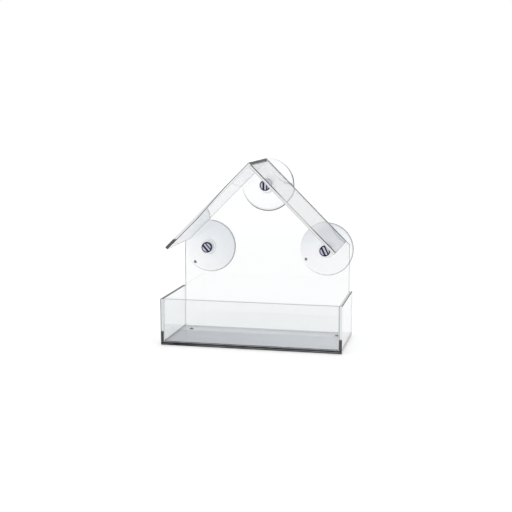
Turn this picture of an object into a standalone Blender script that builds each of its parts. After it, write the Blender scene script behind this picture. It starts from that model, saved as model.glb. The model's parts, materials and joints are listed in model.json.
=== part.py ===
"""Clear acrylic window bird feeder: a house-shaped tray feeder on three screwed suction cups.

+X is to the right of someone who faces the window, +Y points at the glass and +Z is up.
The origin is the centre of the tray floor's underside. All sizes are in metres.
"""
import math

import bmesh
import bpy

# Sheets of the tray and the house
TRAY_WIDTH = 0.150
TRAY_DEPTH = 0.066
TRAY_HEIGHT = 0.0385
HOUSE_HEIGHT = 0.151
SHEET_THICKNESS = 0.0025
SHEET_EDGE_BREAK = 0.0002
CEMENT_GAP = 0.0003

# Roof
ROOF_SLOPE_LENGTH = 0.0985
ROOF_FRONT_OVERHANG = 0.0022
ROOF_PITCH = math.radians(45)

# Drain holes in the floor, measured in from its outer edges
DRAIN_DIAMETER = 0.003
DRAIN_SIDE_INSET = 0.011
DRAIN_REAR_INSET = 0.012

# Where the three fixings go through the back panel
SIDE_SCREW_INSET = 0.0205
SIDE_SCREW_DROP = 0.0055
TOP_SCREW_DROP = 0.023

# Suction cup, with its height measured from the neck's end to the plane of the rim
CUP_DIAMETER = 0.046
CUP_HEIGHT = 0.0072
CUP_LIP_THICKNESS = 0.0004
CUP_LAND_WIDTH = 0.0017
CUP_HOLLOW_DEPTH = 0.0021
NECK_DIAMETER = 0.013
NECK_LENGTH = 0.0020
NECK_FILLET = 0.0012
NECK_CHAMFER = 0.0003
DOME_ROUNDNESS = 1.6

# Release nub, on the cup's outer face near the rim
NUB_DIAMETER = 0.0020
NUB_HEIGHT = 0.0010
NUB_ROUNDING = 0.0005
NUB_RIM_INSET = 0.0030
NUB_ROOT = 0.0004

# Threaded insert in the cup's neck
INSERT_DIAMETER = 0.0064
INSERT_LENGTH = 0.0036
INSERT_END_WALL = 0.0005
INSERT_CHAMFER = 0.0003
INSERT_GROOVE_DEPTH = 0.0004
INSERT_GROOVE_WIDTH = 0.0008

# Screw
THREAD_DIAMETER = 0.0040
THREAD_CLEARANCE = 0.0002
THREAD_END_CHAMFER = 0.0005
HEAD_DIAMETER = 0.0094
HEAD_HEIGHT = 0.0026
HEAD_ROUNDING = 0.0008
SLOT_MOUTH_WIDTH = 0.0036
SLOT_FLOOR_WIDTH = 0.0015
SLOT_DEPTH = 0.0013

# Washer under the head
WASHER_DIAMETER = 0.0120
WASHER_THICKNESS = 0.0008
WASHER_ROUNDING = 0.0002

# Running room and seats
SCREW_HOLE_CLEARANCE = 0.0003
SEAT_GAP = 0.0003
CUT_OVERRUN = 0.001
MERGE_DISTANCE = 0.00001

# How finely the round pieces are made
CUP_STEPS = 48
SCREW_STEPS = 32
DOME_POINTS = 8
HOLLOW_POINTS = 6
ROUNDING_POINTS = 3

# Direction of each screw slot and of each cup's release nub, seen from the front
SLOT_ANGLES = {"left": math.radians(-49), "right": math.radians(-64), "top": math.radians(-90)}
NUB_ANGLES = {"left": math.radians(227), "right": math.radians(207), "top": math.radians(0)}

# Planes and half widths that several pieces share
HALF_WIDTH = TRAY_WIDTH / 2
REAR_Y = TRAY_DEPTH / 2
FRONT_Y = -TRAY_DEPTH / 2
HALF_SHEET = SHEET_THICKNESS / 2
WALL_BOTTOM = SHEET_THICKNESS + CEMENT_GAP
INNER_HALF_WIDTH = HALF_WIDTH - SHEET_THICKNESS - CEMENT_GAP
SHOULDER_HEIGHT = HOUSE_HEIGHT - INNER_HALF_WIDTH * math.tan(ROOF_PITCH)
ROOF_BACK_Y = REAR_Y - SHEET_THICKNESS - CEMENT_GAP
ROOF_FRONT_Y = FRONT_Y - ROOF_FRONT_OVERHANG

# Heights on a fixing's own axis, which starts at the panel's rear face and points to the front
WASHER_SEAT = SHEET_THICKNESS + SEAT_GAP
HEAD_SEAT = WASHER_SEAT + WASHER_THICKNESS + SEAT_GAP
NECK_END = -SEAT_GAP
RIM_PLANE = NECK_END - CUP_HEIGHT
INSERT_BORE_END = NECK_END - INSERT_LENGTH + INSERT_END_WALL
SHANK_END = INSERT_BORE_END + SEAT_GAP

PARTS_COLLECTION = "window_bird_feeder"
CUTTERS_COLLECTION = "cutters"


def clear_scene():
    """Empties the scene."""
    for thing in list(bpy.data.objects):
        bpy.data.objects.remove(thing, do_unlink=True)


def new_collection(name):
    """Adds a collection to the scene."""
    collection = bpy.data.collections.new(name)
    bpy.context.scene.collection.children.link(collection)
    return collection


def new_material(name, colour, roughness, metallic=0.0, transmission=0.0, ior=1.5):
    """A Principled material."""
    material = bpy.data.materials.new(name)
    material.use_nodes = True
    shader = material.node_tree.nodes["Principled BSDF"]
    shader.inputs["Base Color"].default_value = (*colour, 1.0)
    shader.inputs["Roughness"].default_value = roughness
    shader.inputs["Metallic"].default_value = metallic
    shader.inputs["Transmission Weight"].default_value = transmission
    shader.inputs["IOR"].default_value = ior
    material.diffuse_color = (*colour, 1.0)
    return material


def add_object(name, mesh, collection):
    """Puts a mesh in the scene as a named object."""
    thing = bpy.data.objects.new(name, mesh)
    collection.objects.link(thing)
    return thing


def mark_as_cutter(cutter):
    """Hides a cutter or a piece to be joined, which is no part of its own."""
    cutter.hide_render = True
    cutter.display_type = "WIRE"


def flat_outline(name, corners, thickness, collection):
    """A closed outline in XY, given its thickness evenly about its own plane, as a welded mesh."""
    curve = bpy.data.curves.new(name, "CURVE")
    curve.dimensions = "2D"
    curve.fill_mode = "BOTH"
    curve.extrude = thickness / 2
    spline = curve.splines.new("POLY")
    spline.points.add(len(corners) - 1)
    for point, (x, y) in zip(spline.points, corners):
        point.co = (x, y, 0, 1)
    spline.use_cyclic_u = True
    guide = bpy.data.objects.new(name + "_guide", curve)
    collection.objects.link(guide)
    graph = bpy.context.evaluated_depsgraph_get()
    mesh = bpy.data.meshes.new_from_object(guide.evaluated_get(graph))
    place = guide.matrix_world.copy()
    bpy.data.objects.remove(guide, do_unlink=True)
    shape = bmesh.new()
    shape.from_mesh(mesh)
    bmesh.ops.remove_doubles(shape, verts=shape.verts, dist=MERGE_DISTANCE)
    bmesh.ops.recalc_face_normals(shape, faces=shape.faces)
    shape.to_mesh(mesh)
    shape.free()
    thing = add_object(name, mesh, collection)
    thing.matrix_world = place
    return thing


def turned(name, profile, steps, collection, closed=False):
    """A profile of (radius, height) points, running down its outer side, turned round the Z axis."""
    mesh = bpy.data.meshes.new(name)
    edges = [(i, i + 1) for i in range(len(profile) - 1)]
    if closed:
        edges.append((len(profile) - 1, 0))
    mesh.from_pydata([(radius, 0, height) for radius, height in profile], edges, [])
    thing = add_object(name, mesh, collection)
    lathe = thing.modifiers.new("lathe", "SCREW")
    lathe.steps = steps
    lathe.render_steps = steps
    lathe.use_merge_vertices = True
    lathe.merge_threshold = MERGE_DISTANCE
    lathe.use_smooth_shade = True
    return thing


def rounded_corner(radius_out, height, rounding):
    """Points of a rounded top outer corner, from the flat top round to the straight side."""
    points = []
    for step in range(ROUNDING_POINTS + 1):
        angle = math.pi / 2 * (1 - step / ROUNDING_POINTS)
        radius = radius_out - rounding + rounding * math.cos(angle)
        points.append((radius, height - rounding + rounding * math.sin(angle)))
    return points


def boolean(thing, tool, operation):
    """Cuts a piece with a tool, or joins the tool to it."""
    mark_as_cutter(tool)
    modifier = thing.modifiers.new(tool.name, "BOOLEAN")
    modifier.object = tool
    modifier.operation = operation
    modifier.solver = "EXACT"


def sheet(name, corners, materials, collection):
    """One piece cut from clear sheet, with its edges lightly broken."""
    thing = flat_outline(name, corners, SHEET_THICKNESS, collection)
    thing.data.materials.append(materials["acrylic"])
    edges = thing.modifiers.new("edge_break", "BEVEL")
    edges.width = SHEET_EDGE_BREAK
    edges.segments = 1
    edges.limit_method = "ANGLE"
    return thing


def rectangle(low_x, high_x, low_y, high_y):
    """Corners of an upright rectangle."""
    return [(low_x, low_y), (high_x, low_y), (high_x, high_y), (low_x, high_y)]


def hole_cutter(name, diameter, collection):
    """A round bar, long enough to go right through a sheet."""
    mesh = bpy.data.meshes.new(name)
    shape = bmesh.new()
    bmesh.ops.create_cone(
        shape,
        cap_ends=True,
        segments=SCREW_STEPS,
        radius1=diameter / 2,
        radius2=diameter / 2,
        depth=SHEET_THICKNESS + CUT_OVERRUN,
    )
    shape.to_mesh(mesh)
    shape.free()
    return add_object(name, mesh, collection)


def make_floor(materials, parts, cutters):
    """The tray's floor, the full width and depth of the tray, with a drain hole near each rear corner."""
    floor = sheet("tray_floor", rectangle(-HALF_WIDTH, HALF_WIDTH, FRONT_Y, REAR_Y), materials, parts)
    floor.location.z = HALF_SHEET
    for side, sign in (("left", -1), ("right", 1)):
        drain = hole_cutter("drain_" + side, DRAIN_DIAMETER, cutters)
        drain.location = (sign * (HALF_WIDTH - DRAIN_SIDE_INSET), REAR_Y - DRAIN_REAR_INSET, HALF_SHEET)
        boolean(floor, drain, "DIFFERENCE")


def make_tray_walls(materials, parts):
    """The two sides, which run the full depth, and the front between them, all standing on the floor."""
    for side, sign in (("left", -1), ("right", 1)):
        outline = rectangle(FRONT_Y, REAR_Y, WALL_BOTTOM, TRAY_HEIGHT)
        wall = sheet("tray_" + side + "_side", outline, materials, parts)
        wall.rotation_euler = (math.pi / 2, 0, math.pi / 2)
        wall.location.x = sign * (HALF_WIDTH - HALF_SHEET)
    outline = rectangle(-INNER_HALF_WIDTH, INNER_HALF_WIDTH, WALL_BOTTOM, TRAY_HEIGHT)
    front = sheet("tray_front", outline, materials, parts)
    front.rotation_euler.x = math.pi / 2
    front.location.y = FRONT_Y + HALF_SHEET


def fixing_places():
    """Where each screw goes through the back panel, as (x, z)."""
    side_x = INNER_HALF_WIDTH - SIDE_SCREW_INSET
    side_z = SHOULDER_HEIGHT - SIDE_SCREW_DROP
    return {
        "left": (-side_x, side_z),
        "right": (side_x, side_z),
        "top": (0, HOUSE_HEIGHT - TOP_SCREW_DROP),
    }


def make_back_panel(materials, parts, cutters):
    """The house-shaped panel, standing on the floor between the sides, with its screw holes."""
    outline = [
        (-INNER_HALF_WIDTH, WALL_BOTTOM),
        (INNER_HALF_WIDTH, WALL_BOTTOM),
        (INNER_HALF_WIDTH, SHOULDER_HEIGHT),
        (0, HOUSE_HEIGHT),
        (-INNER_HALF_WIDTH, SHOULDER_HEIGHT),
    ]
    panel = sheet("back_panel", outline, materials, parts)
    panel.rotation_euler.x = math.pi / 2
    panel.location.y = REAR_Y - HALF_SHEET
    for name, (x, z) in fixing_places().items():
        hole = hole_cutter("screw_hole_" + name, THREAD_DIAMETER + 2 * SCREW_HOLE_CLEARANCE, cutters)
        hole.rotation_euler.x = math.pi / 2
        hole.location = (x, REAR_Y - HALF_SHEET, z)
        boolean(panel, hole, "DIFFERENCE")


def make_roof(materials, parts):
    """Two sloping panels with their outer faces level with the gable's edges.

    Each is drawn with X down its slope from the ridge. The left one covers the end of the right one.
    """
    lap = SHEET_THICKNESS + CEMENT_GAP + SHEET_THICKNESS * max(0, math.cos(2 * ROOF_PITCH))
    top_inset = {"left": 0, "right": lap / math.sin(2 * ROOF_PITCH)}
    for side, turn in (("left", math.pi - ROOF_PITCH), ("right", ROOF_PITCH)):
        outline = rectangle(top_inset[side], ROOF_SLOPE_LENGTH, ROOF_FRONT_Y, ROOF_BACK_Y)
        panel = sheet(side + "_roof_panel", outline, materials, parts)
        panel.rotation_euler.y = turn
        panel.location.x = HALF_SHEET * math.sin(ROOF_PITCH) * (1 if side == "left" else -1)
        panel.location.z = HOUSE_HEIGHT - HALF_SHEET * math.cos(ROOF_PITCH)


def dome_height(radius):
    """Height of the cup's outer face, which leaves the neck's fillet level and steepens to the rim."""
    dome_start = NECK_DIAMETER / 2 + NECK_FILLET
    start_height = NECK_END - NECK_LENGTH - NECK_FILLET
    drop = start_height - (RIM_PLANE + CUP_LIP_THICKNESS)
    share = (radius - dome_start) / (CUP_DIAMETER / 2 - dome_start)
    return start_height - drop * share ** DOME_ROUNDNESS


def cup_profile():
    """From the bottom of the insert's pocket over the neck and the dome to the hollow's centre."""
    neck = NECK_DIAMETER / 2
    rim = CUP_DIAMETER / 2
    pocket = INSERT_DIAMETER / 2 + SEAT_GAP
    pocket_end = NECK_END - INSERT_LENGTH - SEAT_GAP
    points = [(0, pocket_end), (pocket, pocket_end), (pocket, NECK_END)]
    points += [(neck - NECK_CHAMFER, NECK_END), (neck, NECK_END - NECK_CHAMFER)]
    for step in range(ROUNDING_POINTS + 1):
        angle = math.pi / 2 * step / ROUNDING_POINTS
        radius = neck + NECK_FILLET * (1 - math.cos(angle))
        points.append((radius, NECK_END - NECK_LENGTH - NECK_FILLET * math.sin(angle)))
    dome_start = neck + NECK_FILLET
    for step in range(1, DOME_POINTS + 1):
        radius = dome_start + (rim - dome_start) * step / DOME_POINTS
        points.append((radius, dome_height(radius)))
    land = rim - CUP_LAND_WIDTH
    points.append((rim, RIM_PLANE))
    for step in range(HOLLOW_POINTS + 1):
        share = 1 - step / HOLLOW_POINTS
        points.append((land * share, RIM_PLANE + CUP_HOLLOW_DEPTH * (1 - share ** 2)))
    return points


def make_cup(name, fixing, materials, parts, cutters):
    """A soft cup with its neck against the panel, its rim to the glass and a nub to lift its edge by."""
    cup = turned("suction_cup_" + name, cup_profile(), CUP_STEPS, parts)
    cup.data.materials.append(materials["pvc"])
    cup.parent = fixing
    nub_profile = [(0, NUB_HEIGHT)]
    nub_profile += rounded_corner(NUB_DIAMETER / 2, NUB_HEIGHT, NUB_ROUNDING)
    nub_profile += [(NUB_DIAMETER / 2, -NUB_ROOT), (0, -NUB_ROOT)]
    nub = turned("release_nub_" + name, nub_profile, SCREW_STEPS // 2, cutters)
    nub.parent = fixing
    nub_radius = CUP_DIAMETER / 2 - NUB_RIM_INSET
    angle = NUB_ANGLES[name]
    nub.location = (nub_radius * math.cos(angle), nub_radius * math.sin(angle), dome_height(nub_radius))
    boolean(cup, nub, "UNION")


def make_insert(name, fixing, materials, parts):
    """A blind threaded insert, flush with the neck's end, with a groove that the cup grips."""
    outer = INSERT_DIAMETER / 2
    bore = THREAD_DIAMETER / 2 + THREAD_CLEARANCE
    far_end = NECK_END - INSERT_LENGTH
    groove_middle = NECK_END - INSERT_LENGTH / 2
    groove = outer - INSERT_GROOVE_DEPTH
    profile = [(0, INSERT_BORE_END), (bore, INSERT_BORE_END), (bore, NECK_END)]
    profile += [(outer - INSERT_CHAMFER, NECK_END), (outer, NECK_END - INSERT_CHAMFER)]
    profile += [(outer, groove_middle + INSERT_GROOVE_WIDTH / 2), (groove, groove_middle + INSERT_GROOVE_WIDTH / 2)]
    profile += [(groove, groove_middle - INSERT_GROOVE_WIDTH / 2), (outer, groove_middle - INSERT_GROOVE_WIDTH / 2)]
    profile += [(outer, far_end + INSERT_CHAMFER), (outer - INSERT_CHAMFER, far_end), (0, far_end)]
    insert = turned("threaded_insert_" + name, profile, SCREW_STEPS, parts)
    insert.data.materials.append(materials["brass"])
    insert.parent = fixing


def make_screw(name, fixing, materials, parts, cutters):
    """A slotted screw with a rounded head, through the washer and the panel into the insert."""
    head = HEAD_DIAMETER / 2
    shank = THREAD_DIAMETER / 2
    head_top = HEAD_SEAT + HEAD_HEIGHT
    profile = [(0, head_top)] + rounded_corner(head, head_top, HEAD_ROUNDING)
    profile += [(head, HEAD_SEAT), (shank, HEAD_SEAT), (shank, SHANK_END + THREAD_END_CHAMFER)]
    profile += [(shank - THREAD_END_CHAMFER, SHANK_END), (0, SHANK_END)]
    screw = turned("slotted_screw_" + name, profile, SCREW_STEPS, parts)
    screw.data.materials.append(materials["chrome"])
    screw.parent = fixing
    slot_slope = (SLOT_MOUTH_WIDTH - SLOT_FLOOR_WIDTH) / 2 / SLOT_DEPTH
    mouth = SLOT_MOUTH_WIDTH / 2 + CUT_OVERRUN * slot_slope
    floor = SLOT_FLOOR_WIDTH / 2
    outline = [(-floor, -SLOT_DEPTH), (floor, -SLOT_DEPTH), (mouth, CUT_OVERRUN), (-mouth, CUT_OVERRUN)]
    slot = flat_outline("slot_" + name, outline, HEAD_DIAMETER + CUT_OVERRUN, cutters)
    slot.parent = fixing
    slot.rotation_euler = (math.pi / 2, 0, SLOT_ANGLES[name] + math.pi / 2)
    slot.location.z = head_top
    boolean(screw, slot, "DIFFERENCE")


def make_washer(name, fixing, materials, parts):
    """A thin clear washer that spreads the head's load on the panel."""
    outer = WASHER_DIAMETER / 2
    bore = THREAD_DIAMETER / 2 + SCREW_HOLE_CLEARANCE
    top = WASHER_SEAT + WASHER_THICKNESS
    profile = [(bore, top)] + rounded_corner(outer, top, WASHER_ROUNDING)
    profile += [(outer, WASHER_SEAT), (bore, WASHER_SEAT)]
    washer = turned("screw_washer_" + name, profile, SCREW_STEPS, parts, closed=True)
    washer.data.materials.append(materials["nylon"])
    washer.parent = fixing


def make_fixing(name, x, z, materials, parts, cutters):
    """One cup with its insert, screw and washer, on an empty whose +Z is the screw's axis."""
    fixing = bpy.data.objects.new("fixing_" + name, None)
    parts.objects.link(fixing)
    fixing.location = (x, REAR_Y, z)
    fixing.rotation_euler.x = math.pi / 2
    make_cup(name, fixing, materials, parts, cutters)
    make_insert(name, fixing, materials, parts)
    make_screw(name, fixing, materials, parts, cutters)
    make_washer(name, fixing, materials, parts)


def main():
    """Builds the whole feeder."""
    clear_scene()
    parts = new_collection(PARTS_COLLECTION)
    cutters = new_collection(CUTTERS_COLLECTION)
    materials = {
        "acrylic": new_material("clear_acrylic", (0.93, 0.96, 0.97), 0.03, transmission=1.0, ior=1.49),
        "pvc": new_material("clear_soft_pvc", (0.90, 0.93, 0.94), 0.15, transmission=1.0, ior=1.53),
        "nylon": new_material("clear_nylon", (0.92, 0.94, 0.95), 0.25, transmission=1.0, ior=1.53),
        "brass": new_material("brass", (0.72, 0.55, 0.26), 0.30, metallic=1.0),
        "chrome": new_material("bright_chrome", (0.66, 0.67, 0.72), 0.12, metallic=1.0),
    }
    make_floor(materials, parts, cutters)
    make_tray_walls(materials, parts)
    make_back_panel(materials, parts, cutters)
    make_roof(materials, parts)
    for name, (x, z) in fixing_places().items():
        make_fixing(name, x, z, materials, parts, cutters)


main()
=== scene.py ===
"""Looks of the clear acrylic window bird feeder: polished sheets, dark cut edges, soft cups, slotted screws.

Sizes are in metres. +X is to the right of someone who faces the window, +Y points at the glass and +Z is up.
That person also sees the angles round a cup or a screw, which go from +X towards +Z.
"""
import json
import math

import bmesh
import bpy
from mathutils import Matrix, Vector


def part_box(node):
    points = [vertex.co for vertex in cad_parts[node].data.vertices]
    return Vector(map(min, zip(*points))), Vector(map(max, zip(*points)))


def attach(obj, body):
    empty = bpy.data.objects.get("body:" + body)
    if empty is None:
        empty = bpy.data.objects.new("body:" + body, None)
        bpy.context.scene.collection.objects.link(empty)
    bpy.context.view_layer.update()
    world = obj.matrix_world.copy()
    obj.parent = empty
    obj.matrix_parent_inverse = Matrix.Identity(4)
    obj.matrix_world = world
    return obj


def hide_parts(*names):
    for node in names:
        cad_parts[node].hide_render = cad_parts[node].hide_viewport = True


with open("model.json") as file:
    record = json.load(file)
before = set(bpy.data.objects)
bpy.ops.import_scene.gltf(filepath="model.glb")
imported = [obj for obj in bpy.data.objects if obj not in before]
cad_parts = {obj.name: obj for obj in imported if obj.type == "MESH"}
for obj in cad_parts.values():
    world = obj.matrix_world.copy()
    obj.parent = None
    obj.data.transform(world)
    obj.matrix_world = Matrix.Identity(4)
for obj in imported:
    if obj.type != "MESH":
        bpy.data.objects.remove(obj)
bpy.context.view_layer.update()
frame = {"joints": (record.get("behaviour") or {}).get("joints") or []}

# The photograph's camera
CAMERA_AZIMUTH = math.radians(12.38)
CAMERA_ELEVATION = math.radians(8.613)
CAMERA_DISTANCE = 0.820
CAMERA_TARGET = Vector((-0.004745, 0.013, 0.069372))
CAMERA_LENS_MM = 68.22
CAMERA_SENSOR_MM = 36

# Sheets
ROOF_PITCH = math.radians(45)
EDGE_ROUNDING = 0.00025
EDGE_ROUNDING_STEPS = 3
DRAIN_RADIUS = 0.0015
DRAIN_SIDE_INSET = 0.011
DRAIN_REAR_INSET = 0.012
SCREW_HOLE_RADIUS = 0.0023
HOLE_STEPS = 64
CEMENT_CLEARANCE = 0.00002
CEMENT_INSET = 0.0002

# Suction cup
CUP_RADIUS = 0.023
CUP_HEIGHT = 0.0072
LIP_THICKNESS = 0.0004
LIP_ROUNDING = 0.00015
LAND_WIDTH = 0.0017
HOLLOW_DEPTH = 0.0021
NECK_RADIUS = 0.0065
NECK_LENGTH = 0.0020
NECK_FILLET = 0.0012
NECK_CHAMFER = 0.0003
DOME_ROUNDNESS = 1.6
POCKET_CLEARANCE = 0.00005
NUB_RADIUS = 0.0010
NUB_HEIGHT = 0.0010
NUB_ROUNDING = 0.0005
NUB_RIM_INSET = 0.0030
NUB_ROOT = 0.0003
NUB_ANGLES = {"left": math.radians(227), "right": math.radians(207), "top": math.radians(0)}

# Where a cup's rim and nub are painted dark and its body painted greyer towards one side, both as painted
# shade, and how narrowly that gathers to one side
RIM_BANDS = {"left": 0.0008, "right": 0.0008, "top": 0.0011}
RIM_DARK_ANGLES = {"left": math.radians(5), "right": math.radians(10), "top": math.radians(-50)}
RIM_DARK_STRENGTHS = {"left": 0.95, "right": 0.85, "top": 2.0}
RIM_DARK_GATHERING = {"left": 1.0, "right": 1.0, "top": 2.0}
NUB_DARK_REACH = 0.0014
SIDE_SHADE_ANGLES = {"left": math.radians(40), "right": math.radians(105), "top": math.radians(-10)}
SIDE_SHADE_SHARES = {"left": 0.64, "right": 0.68, "top": 0.20}
SIDE_SHADE_GATHERING = {"left": 1.0, "right": 1.8, "top": 1.0}

# Threaded insert
INSERT_RADIUS = 0.0032
INSERT_LENGTH = 0.0036
INSERT_END_WALL = 0.0005
INSERT_CHAMFER = 0.0003
INSERT_GROOVE_DEPTH = 0.0004
INSERT_GROOVE_WIDTH = 0.0008
KNURL_RIDGE = 0.00012
KNURL_COUNT = 30
INNER_THREAD_CREST = 0.0001

# Screw and washer
THREAD_RADIUS = 0.0020
THREAD_RIDGE = 0.00033
THREAD_PITCH = 0.0007
THREAD_CLEARANCE = 0.0002
THREAD_END_CHAMFER = 0.0005
HEAD_RADIUS = 0.0047
HEAD_HEIGHT = 0.0026
HEAD_ROUNDING = 0.0008
SLOT_MOUTH_WIDTH = 0.0036
SLOT_FLOOR_WIDTH = 0.0015
SLOT_DEPTH = 0.0013
SLOT_ANGLES = {"left": math.radians(-49), "right": math.radians(-64), "top": math.radians(-90)}
WASHER_RADIUS = 0.0060
WASHER_THICKNESS = 0.0008
WASHER_ROUNDING = 0.0002
SCREW_HOLE_CLEARANCE = 0.0003
SEAT_GAP = 0.0003

# How finely the pieces are made, and the room that cuts and tests need
CUP_STEPS = 128
SCREW_STEPS = 64
NUB_STEPS = 32
DOME_POINTS = 28
HOLLOW_POINTS = 20
ROUNDING_POINTS = 6
THREAD_STEPS = 24
RIDGE_CORNERS = 4
CUT_OVERRUN = 0.001
HEIGHT_TOLERANCE = 0.000002
SHARP_ANGLE = math.radians(35)

# Heights on a fixing's axis, which starts at the back panel's rear face and points to the front
FLOOR_LOW, FLOOR_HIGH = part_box("tray_floor")
SHEET = FLOOR_HIGH.z - FLOOR_LOW.z
WASHER_SEAT = SHEET + SEAT_GAP
HEAD_SEAT = WASHER_SEAT + WASHER_THICKNESS + SEAT_GAP
NECK_END = -SEAT_GAP
RIM_PLANE = NECK_END - CUP_HEIGHT
DOME_TOP = NECK_END - NECK_LENGTH - NECK_FILLET
INSERT_END = NECK_END - INSERT_LENGTH
INSERT_BORE_END = INSERT_END + INSERT_END_WALL
GROOVE_LOW = NECK_END - INSERT_LENGTH / 2 - INSERT_GROOVE_WIDTH / 2
GROOVE_HIGH = NECK_END - INSERT_LENGTH / 2 + INSERT_GROOVE_WIDTH / 2
SHANK_END = INSERT_BORE_END + SEAT_GAP

# Distances from a fixing's axis at which the cup's dome starts and ends
DOME_START = NECK_RADIUS + NECK_FILLET
DOME_END = CUP_RADIUS - LIP_ROUNDING

# Colours, as the shares of red, green and blue that a surface returns or passes
# The right roof's lower end, darkened by painted shade
EAVES_PAINTED_SHADE = (0.690, 0.697, 0.735)
# The tray floor's painted shade, and the painted light of its strip along the drain holes
FLOOR_SHEET_SHADED = (0.60, 0.62, 0.65)
FLOOR_SHEET_LIT = (0.96, 0.97, 0.985)
SHEET_SHADOW = (0.97, 0.975, 0.98)
SEED_FLOOR_SHADOW = (0.76, 0.77, 0.78)
PVC_SHADOW = (0.93, 0.94, 0.95)
NYLON_SHADOW = (0.92, 0.93, 0.94)
CEMENT_SHADOW = (0.95, 0.95, 0.95)
EDGE_LIGHT = (0.90, 0.905, 0.91)
EDGE_DARK = (0.010, 0.013, 0.015)
PVC_CLEAR = (0.965, 0.972, 0.982)
PVC_SHADED = (0.610, 0.645, 0.690)
PVC_RIM = (0.012, 0.013, 0.016)
NYLON_CLEAR = (0.975, 0.98, 0.985)
NYLON_CLOUD = (0.95, 0.955, 0.97)
BRASS_BRIGHT = (0.78, 0.60, 0.30)
BRASS_DULL = (0.52, 0.38, 0.17)
CHROME_BRIGHT = (0.60, 0.60, 0.70)
CHROME_CLOUD = (0.42, 0.42, 0.53)
CHROME_SHADED = (0.048, 0.048, 0.085)
CEMENT_CLEAR = (0.93, 0.94, 0.95)
CEMENT_CLOUD = (0.84, 0.86, 0.87)
FLOOR_PAPER = (0.78, 0.78, 0.78)
FLOOR_FIBRE = (0.80, 0.80, 0.80)
BLACK = (0.0, 0.0, 0.0)
WHITE = (1.0, 1.0, 1.0)
ROOM_LIGHT = (0.80, 0.80, 0.80)
ROOM_HIGH = (0.80, 0.81, 0.83)
ROOM_SIDES = (0.16, 0.17, 0.22)

# The cooler and the warmer colour of each kind of clean sheet: the same clear acrylic, darker by painted
# shade on the tray and the roof panels, most on the left roof
SHEET_TINTS = {
    "house": ((0.925, 0.932, 0.940), (0.935, 0.941, 0.941)),
    "tray": ((0.900, 0.912, 0.922), (0.915, 0.925, 0.925)),
    "left_roof": ((0.765, 0.774, 0.803), (0.790, 0.795, 0.815)),
    "right_roof": ((0.888, 0.899, 0.896), (0.897, 0.907, 0.897)),
}

# Roughness: an even part, and then what each pattern of the recipe adds
ACRYLIC_ROUGHNESS = (0.01, 0.09, 0.04)
EDGE_ROUGHNESS = (0.22, 0.16)
PVC_ROUGHNESS = (0.04, 0.05, 0.10)
NYLON_ROUGHNESS = (0.10, 0.10)
BRASS_ROUGHNESS = (0.22, 0.10, 0.08)
CHROME_ROUGHNESS = (0.10, 0.10, 0.08)
CEMENT_ROUGHNESS = (0.10, 0.25)
PAPER_ROUGHNESS = 0.9

# How strongly the clear materials bend light, and how much of it the milky ones pass
ACRYLIC_IOR = 1.49
PVC_IOR = 1.50
NYLON_IOR = 1.53
CEMENT_IOR = 1.47
NYLON_CLEAR_SHARE = 0.97
CEMENT_CLEAR_SHARE = 0.9

# How much fine structure a noise pattern has
PLAIN_DETAIL = 1.0
SOFT_DETAIL = 2.0
FINE_DETAIL = 3.0


class Value:
    """An output of a node tree that can stand in a sum. Each sum adds its Math node."""

    def __init__(self, tree, socket):
        self.tree = tree
        self.socket = socket

    def __add__(self, other):
        return self.tree.maths("ADD", self, other)

    def __radd__(self, other):
        return self.tree.maths("ADD", other, self)

    def __sub__(self, other):
        return self.tree.maths("SUBTRACT", self, other)

    def __rsub__(self, other):
        return self.tree.maths("SUBTRACT", other, self)

    def __mul__(self, other):
        return self.tree.maths("MULTIPLY", self, other)

    def __rmul__(self, other):
        return self.tree.maths("MULTIPLY", other, self)

    def __abs__(self):
        return self.tree.maths("ABSOLUTE", self)


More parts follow.
